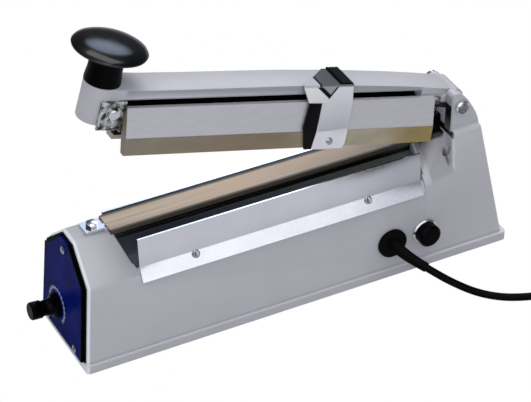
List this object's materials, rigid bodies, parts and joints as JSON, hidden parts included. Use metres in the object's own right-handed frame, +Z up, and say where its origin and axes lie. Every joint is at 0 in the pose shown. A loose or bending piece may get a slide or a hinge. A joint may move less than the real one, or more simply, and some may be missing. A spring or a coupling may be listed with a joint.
{
  "type": "bag sealer",
  "caption": "Hand-operated impulse bag sealer: a sprung arm with a mushroom knob closes on a heated jaw, and a cutter slides along the arm; timer knob, fuse and mains cord.",
  "frame": {"origin": "bottom centre of the sealer without its cord, on the table", "axes": "+X runs from the timer knob at the front to the hinge at the rear, +Y away from the side with the cord, +Z up"},
  "size_m": [0.5168, 0.308, 0.2967],
  "materials": {
    "grey_paint": "light grey enamel, satin",
    "blue_panel": "navy printed face plate",
    "black_rubber": "matte",
    "black_plastic": "gloss",
    "polished_steel": "bright plated sheet",
    "polished_aluminium": "bright extruded",
    "aluminium": "mill finish",
    "zinc_steel": "zinc plated",
    "tan_tape": "woven glass tape with a slippery coat",
    "white_plastic": "satin",
    "silicone": "soft",
    "copper": "lacquered wire",
    "board": "circuit board",
    "clear_glass": "clear"
  },
  "bodies": {
    "housing": {"casing": "grey_paint", "front_panel": "blue_panel", "panel_gasket": "black_rubber", "foot_1": "black_rubber", "foot_2": "black_rubber", "foot_3": "black_rubber", "foot_4": "black_rubber", "cord_gland": "black_rubber", "coil_tie": "black_rubber", "spring_box": "black_plastic", "micro_switch": "black_plastic", "power_cord": "black_plastic", "cord_coil": "black_plastic", "plug": "black_plastic", "cover_near": "polished_steel", "cover_far": "polished_steel", "front_clamp": "polished_steel", "rear_clamp": "polished_steel", "front_clamp_nut": "polished_steel", "rear_clamp_nut": "polished_steel", "hinge_nut": "polished_steel", "fuse_holder": "polished_steel", "heating_element": "polished_steel", "jaw_base": "aluminium", "base_plate": "zinc_steel", "panel_screw_1": "zinc_steel", "panel_screw_2": "zinc_steel", "panel_screw_3": "zinc_steel", "cover_near_screw_1": "zinc_steel", "cover_near_screw_2": "zinc_steel", "cover_far_screw_1": "zinc_steel", "cover_far_screw_2": "zinc_steel", "timer_control": "zinc_steel", "transformer_core": "zinc_steel", "hinge_pin": "zinc_steel", "return_spring": "zinc_steel", "ptfe_strip": "tan_tape", "transformer_winding": "copper", "timer_board": "board", "fuse_link": "clear_glass"},
    "sealing_arm": {"arm": "grey_paint", "press_bar": "black_plastic", "silicone_strip": "silicone", "guide_rail": "polished_aluminium", "rail_tape": "tan_tape", "arm_knob": "black_plastic", "knob_stud": "zinc_steel", "front_bracket": "polished_steel", "rear_bracket": "polished_steel", "front_bolt": "polished_steel", "rear_bolt": "zinc_steel"},
    "cutter": {"cutter_carriage": "polished_steel", "cutter_shoe": "white_plastic", "carriage_grip": "black_plastic", "cutter_blade": "zinc_steel", "blade_screw": "zinc_steel"},
    "timer": {"timer_knob": "black_plastic"},
    "fuse_cap_body": {"fuse_cap": "black_plastic"},
    "push_rod": {"switch_plunger": "white_plastic"}
  },
  "joints": [
    {"name": "arm_swing", "type": "hinge", "parent": "housing", "child": "sealing_arm", "pos_m": [0.17482, 0.00528, 0.1474], "axis": [0, -1, 0], "range_deg": [0, 15.2], "stiffness_Nm_per_rad": 5, "springref_deg": -34.38, "deforming": ["return_spring"]},
    {"name": "cutter_slide", "type": "slide", "parent": "sealing_arm", "child": "cutter", "axis": [-0.965, 0, 0.2622], "range_m": [-0.055, 0.14]},
    {"name": "timer_turn", "type": "hinge", "parent": "housing", "child": "timer", "pos_m": [-0.19431, 0.01578, 0.03727], "axis": [-0.9981, 0, 0.0611], "range_deg": [0, 270]},
    {"name": "fuse_cap_turn", "type": "hinge", "parent": "housing", "child": "fuse_cap_body", "pos_m": [0.13362, -0.03788, 0.0388], "axis": [0, -0.9996, 0.0292], "range_deg": [0, 90]},
    {"name": "push_rod_slide", "type": "slide", "parent": "housing", "child": "push_rod", "axis": [0, 0, -1], "range_m": [0, 0.0037]}
  ],
  "couplings": [
    {"joint": "push_rod_slide", "follows": "arm_swing", "m_per_rad": 0.0135}
  ]
}
